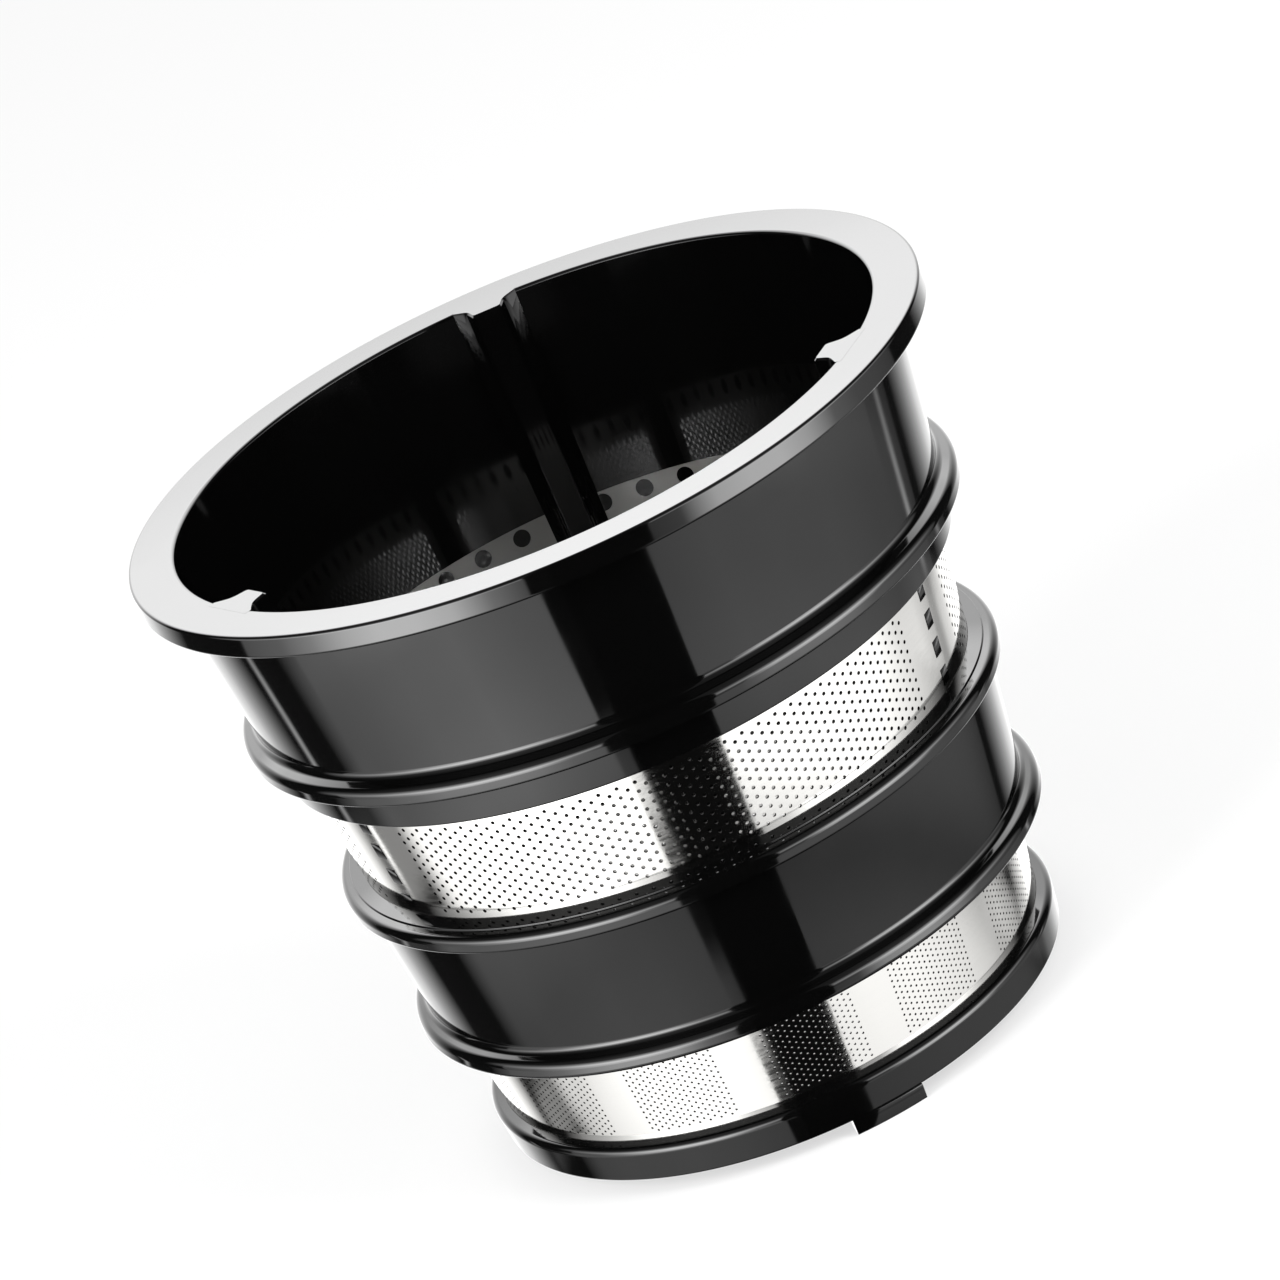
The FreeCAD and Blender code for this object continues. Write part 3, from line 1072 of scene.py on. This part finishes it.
@dataclass
class PhotoCamera:
    """Camera that stands where the photograph was taken from, in metres and degrees."""

    elevation: float = 22.0941
    roll: float = 23.6854
    distance: float = 0.90238
    focal_pixels: float = 6821.16
    image_pixels: int = 1280
    pan: float = -0.16633
    tilt: float = 0.63324
    heading: float = 2.0
    aim_height: float = 0.0491
    sensor: float = 36.0
    clip: tuple[float, float] = (0.01, 50.0)

    def build(self) -> bpy.types.Object:
        """Aims at the axis from the heading and elevation, then turns by the pan, the tilt and the roll.

        Returns:
            The camera, set as the scene's own.
        """
        high, turn = math.radians(self.elevation), math.radians(self.heading)
        away = Vector((math.sin(turn) * math.cos(high), -math.cos(turn) * math.cos(high), math.sin(high)))
        forward = -away
        right = Vector((math.cos(turn), math.sin(turn), 0.0))
        up = right.cross(forward)
        pan = Matrix.Rotation(math.radians(self.pan), 3, up)
        forward, right = pan @ forward, pan @ right
        tilt = Matrix.Rotation(math.radians(self.tilt), 3, right)
        forward, up = tilt @ forward, tilt @ up
        roll = Matrix.Rotation(math.radians(self.roll), 3, forward)
        right, up = roll @ right, roll @ up
        data = bpy.data.cameras.new("photo_camera")
        data.sensor_width = self.sensor
        data.lens = self.focal_pixels / self.image_pixels * self.sensor
        data.clip_start, data.clip_end = self.clip
        camera = bpy.data.objects.new("photo_camera", data)
        turned = Matrix((right, up, -forward)).transposed().to_4x4()
        camera.matrix_world = Matrix.Translation(away * self.distance + Vector((0, 0, self.aim_height))) @ turned
        bpy.context.scene.collection.objects.link(camera)
        bpy.context.scene.camera = camera
        return camera


def reflected_only(piece: bpy.types.Object) -> None:
    """Makes a card glow with the light kept at its points and hides it from all but reflections.

    Args:
        piece: card of the studio.
    """
    material = bpy.data.materials.new(f"{piece.name}_glow")
    tree = empty_tree(material)
    glow = add_node(tree, "ShaderNodeEmission")
    kept = add_node(tree, "ShaderNodeAttribute", {"attribute_name": LIGHT})
    tree.links.new(kept.outputs["Fac"], glow.inputs["Strength"])
    add_node(tree, "ShaderNodeOutputMaterial", links={"Surface": glow.outputs["Emission"]})
    piece.data.materials.append(material)
    piece.visible_camera = piece.visible_diffuse = piece.visible_transmission = piece.visible_shadow = False


@dataclass(frozen=True)
class Glow:
    """Patch of light on a card: a level for each turn times a share for each height.

    Turns are degrees from the camera's side, positive to the right, and the zone gives the heights.
    """

    turns: tuple[float, ...]
    levels: tuple[float, ...]
    zone: Zone
    shares: tuple[float, ...]

    def over(self, turn: np.ndarray, height: np.ndarray) -> np.ndarray:
        """Light of the patch, blended evenly between the marks and dark outside them.

        Args:
            turn: turns of the card's columns.
            height: heights of its rows.

        Returns:
            Light for each column and row.
        """
        across = np.interp(turn, self.turns, self.levels, left=0.0, right=0.0)
        upward = np.interp(height, self.zone.value, self.shares, left=0.0, right=0.0)
        return across[:, None] * upward[None, :]


@dataclass(frozen=True)
class Card:
    """White card that only reflections show: part of an upright cylinder round the object, in metres."""

    name: str
    turns: tuple[float, float]
    glows: tuple[Glow, ...]
    heights: tuple[float, float] = (-0.4, 1.0)
    radius: float = 0.3
    heading: float = 2.0
    faint: float = 0.03
    columns: int = 221
    rows: int = 281

    def build(self) -> bpy.types.Object:
        """Builds the card, with its light kept as an attribute of its points.

        Returns:
            The card.
        """
        turn = np.linspace(*self.turns, self.columns)
        height = np.linspace(*self.heights, self.rows)
        points = polar(np.array(self.radius / MM), np.radians(turn + self.heading)[:, None], height[None, :] / MM)
        card = mesh_piece(self.name, points, grid_faces(self.columns, self.rows, False, False))
        light = card.data.attributes.new(LIGHT, "FLOAT", "POINT")
        levels = self.faint + sum(glow.over(turn, height) for glow in self.glows)
        light.data.foreach_set("value", levels.astype(np.float32).ravel())
        reflected_only(card)
        return card


@dataclass
class Studio:
    """White floor, two softboxes, white cards and a dim surround, in metres, degrees and watts."""

    floor_size: float = 8.0
    floor_colour: str = "#f2f2f2"
    floor_glow: float = 0.6
    box_turn: float = 50.0
    box_elevation: float = 30.0
    box_distance: float = 1.0
    box_width: float = 0.42
    box_height: float = 0.62
    aim_height: float = 0.05
    left_power: float = 8.5
    right_power: float = 7.5
    fill: float = 0.75
    surround: float = 0.004
    heading: float = 2.0
    cards: tuple[Card, ...] = (
        Card("left_card", (-180.0, -9.0), (
            # light from the table, seen in the lower wall and the lower band
            Glow((-106.0, -97.0, -84.0, -54.0, -34.0, -15.0), (0.0, 0.42, 0.65, 0.97, 0.95, 0.78),
                 Zone.TABLE, (1.1, 1.5, 1.62, 1.45, 1.4, 0.7, 0.0)),
            # foot of the softbox, seen in the upper wall and the upper band
            Glow((-106.0, -97.0, -84.0, -64.0, -44.0, -24.0, -15.0), (0.0, 0.33, 0.5, 0.82, 1.0, 0.78, 0.72),
                 Zone.SOFTBOX_FOOT, (0.0, 0.7, 2.8, 3.0, 3.0, 0.0)),
            # softbox, seen in the rim of the flange
            Glow((-97.0, -84.0, -74.0, -64.0, -54.0, -44.0, -34.0, -24.0, -15.0),
                 (0.07, 0.14, 0.33, 0.7, 0.96, 1.0, 0.86, 0.31, 0.12),
                 Zone.SOFTBOX, (0.0, 4.5, 14.0, 14.5, 0.0)),
            # softbox, seen in the edges of the rings
            Glow((-106.0, -84.0, -64.0, -54.0, -44.0, -34.0, -15.0), (0.0, 0.4, 0.88, 1.0, 1.0, 0.88, 0.43),
                 Zone.SOFTBOX_TOP, (0.0, 13.0, 6.0, 0.8, 0.4, 0.2)),
            # wall of the room behind the basket
            Glow((-180.0, -144.0, -134.0, -124.0), (1.0, 1.0, 0.57, 0.0),
                 Zone.ROOM, (1.7, 1.7, 2.8, 4.8, 5.2, 6.4, 6.4, 4.5, 0.5)),
            # light that the rolled bands gather from beside the dark gaps
            Glow((-126.0, -120.0, -100.0, -90.0), (0.0, 1.0, 1.0, 0.0),
                 Zone.BESIDE_BANDS, (0.0, 0.25, 0.25, 0.0, 0.0, 0.25, 0.25, 0.0)),
            Glow((-15.0, -10.0), (1.0, 0.8),
                 Zone.BEFORE_BANDS, (0.0, 1.1, 1.1, 0.0, 0.0, 1.1, 1.1, 0.0)),
            # thin gap of light between the wall and the softbox
            Glow((-122.0, -120.0, -118.0), (0.0, 1.0, 0.0),
                 Zone.LEFT_GAP, (0.0, 1.5, 2.2, 2.2, 0.0)),
        )),
        # the right card has the same lights in the same order, apart from the one before the bands
        Card("right_card", (17.5, 180.0), (
            Glow((16.0, 36.0, 56.0, 76.0, 96.0, 106.0, 120.0), (0.92, 1.0, 1.0, 0.82, 0.57, 0.4, 0.1),
                 Zone.TABLE, (0.8, 1.1, 1.2, 0.76, 0.95, 0.5, 0.0)),
            Glow((16.0, 36.0, 56.0, 76.0, 86.0, 96.0, 106.0, 120.0), (0.8, 1.0, 0.93, 0.76, 0.6, 0.43, 0.3, 0.1),
                 Zone.SOFTBOX_FOOT, (0.0, 0.45, 1.5, 1.68, 1.68, 0.0)),
            Glow((16.0, 26.0, 36.0, 46.0, 56.0, 66.0, 76.0, 86.0, 106.0),
                 (0.06, 0.1, 0.85, 1.0, 0.98, 0.68, 0.17, 0.09, 0.03),
                 Zone.SOFTBOX, (0.0, 4.0, 11.7, 12.0, 0.0)),
            Glow((16.0, 26.0, 36.0, 56.0, 66.0, 86.0, 106.0), (0.4, 0.6, 0.85, 1.0, 0.85, 0.36, 0.0),
                 Zone.SOFTBOX_TOP, (0.0, 11.0, 5.0, 0.7, 0.4, 0.2)),
            Glow((124.0, 136.0, 146.0, 180.0), (0.0, 0.6, 1.0, 1.0),
                 Zone.ROOM, (1.75, 1.75, 2.8, 4.8, 5.2, 6.4, 6.4, 4.5, 0.5)),
            Glow((96.0, 108.0, 128.0, 134.0), (0.0, 1.0, 1.0, 0.0),
                 Zone.BESIDE_BANDS, (0.0, 0.35, 0.35, 0.0, 0.0, 0.35, 0.35, 0.0)),
            Glow((111.5, 113.5, 115.5), (0.0, 1.0, 0.0),
                 Zone.RIGHT_GAP, (0.0, 2.4, 1.2, 0.0)),
        )),
    )

    def floor(self) -> None:
        """Lays a white floor that keeps the soft shadow; the cards stand for it in reflections."""
        half = self.floor_size / 2
        points = np.array([(-half, -half, 0), (half, -half, 0), (half, half, 0), (-half, half, 0)], dtype=float)
        floor = mesh_piece("floor", points, np.array([[0, 1, 2, 3]]))
        material = bpy.data.materials.new("matt_white_table")
        tree = empty_tree(material)
        path = add_node(tree, "ShaderNodeLightPath")
        colour = linear(self.floor_colour)
        matt = add_node(tree, "ShaderNodeBsdfDiffuse", values={"Color": colour})
        glow = add_node(tree, "ShaderNodeEmission", values={"Strength": 1.0})
        seen = add_node(tree, "ShaderNodeMath", {"operation": "MULTIPLY"}, links={0: path.outputs["Is Camera Ray"]})
        seen.inputs[1].default_value = self.floor_glow
        mixed = add_node(tree, "ShaderNodeMixShader", links={"Fac": seen.outputs["Value"], 1: matt.outputs["BSDF"],
                                                             2: glow.outputs["Emission"]})
        add_node(tree, "ShaderNodeOutputMaterial", links={"Surface": mixed.outputs["Shader"]})
        floor.data.materials.append(material)
        floor.visible_glossy = False

    def softbox(self, side: Side, power: float) -> None:
        """Hangs one softbox that faces the basket; a card stands for it in reflections.

        Args:
            side: side of the studio.
            power: power of the lamp.
        """
        data = bpy.data.lights.new(f"softbox_{side.name.lower()}", "AREA")
        data.shape = "RECTANGLE"
        data.size, data.size_y = self.box_width, self.box_height
        data.energy = power
        lamp = bpy.data.objects.new(data.name, data)
        lamp.visible_glossy = False
        turn, high = math.radians(side.value * self.box_turn + self.heading), math.radians(self.box_elevation)
        away = Vector((math.sin(turn) * math.cos(high), -math.cos(turn) * math.cos(high), math.sin(high)))
        lamp.location = away * self.box_distance + Vector((0.0, 0.0, self.aim_height))
        lamp.rotation_euler = away.to_track_quat("Z", "Y").to_euler()
        bpy.context.scene.collection.objects.link(lamp)

    def surroundings(self) -> None:
        """Fills the shadows evenly while reflections see a dim room."""
        world = bpy.data.worlds.new("dim_room")
        tree = empty_tree(world)
        path = add_node(tree, "ShaderNodeLightPath")
        level = add_node(tree, "ShaderNodeMapRange",
                         values={"From Min": 0.0, "From Max": 1.0, "To Min": self.fill, "To Max": self.surround},
                         links={"Value": path.outputs["Is Glossy Ray"]})
        light = add_node(tree, "ShaderNodeBackground", links={"Strength": level.outputs["Result"]})
        light.inputs["Color"].default_value = (1.0, 1.0, 1.0, 1.0)
        add_node(tree, "ShaderNodeOutputWorld", links={"Surface": light.outputs["Background"]})
        bpy.context.scene.world = world

    def build(self) -> None:
        """Sets up the floor, the lamps, the surround and the cards."""
        self.floor()
        self.softbox(Side.LEFT, self.left_power)
        self.softbox(Side.RIGHT, self.right_power)
        self.surroundings()
        for card in self.cards:
            card.build()
        bpy.context.scene.view_settings.view_transform = "Standard"


def main() -> None:
    """Builds the basket, the studio and the camera."""
    logging.basicConfig(level=logging.INFO, format="%(name)s: %(message)s")
    Basket().build()
    Studio().build()
    PhotoCamera().build()


if __name__ == "__main__":
    main()
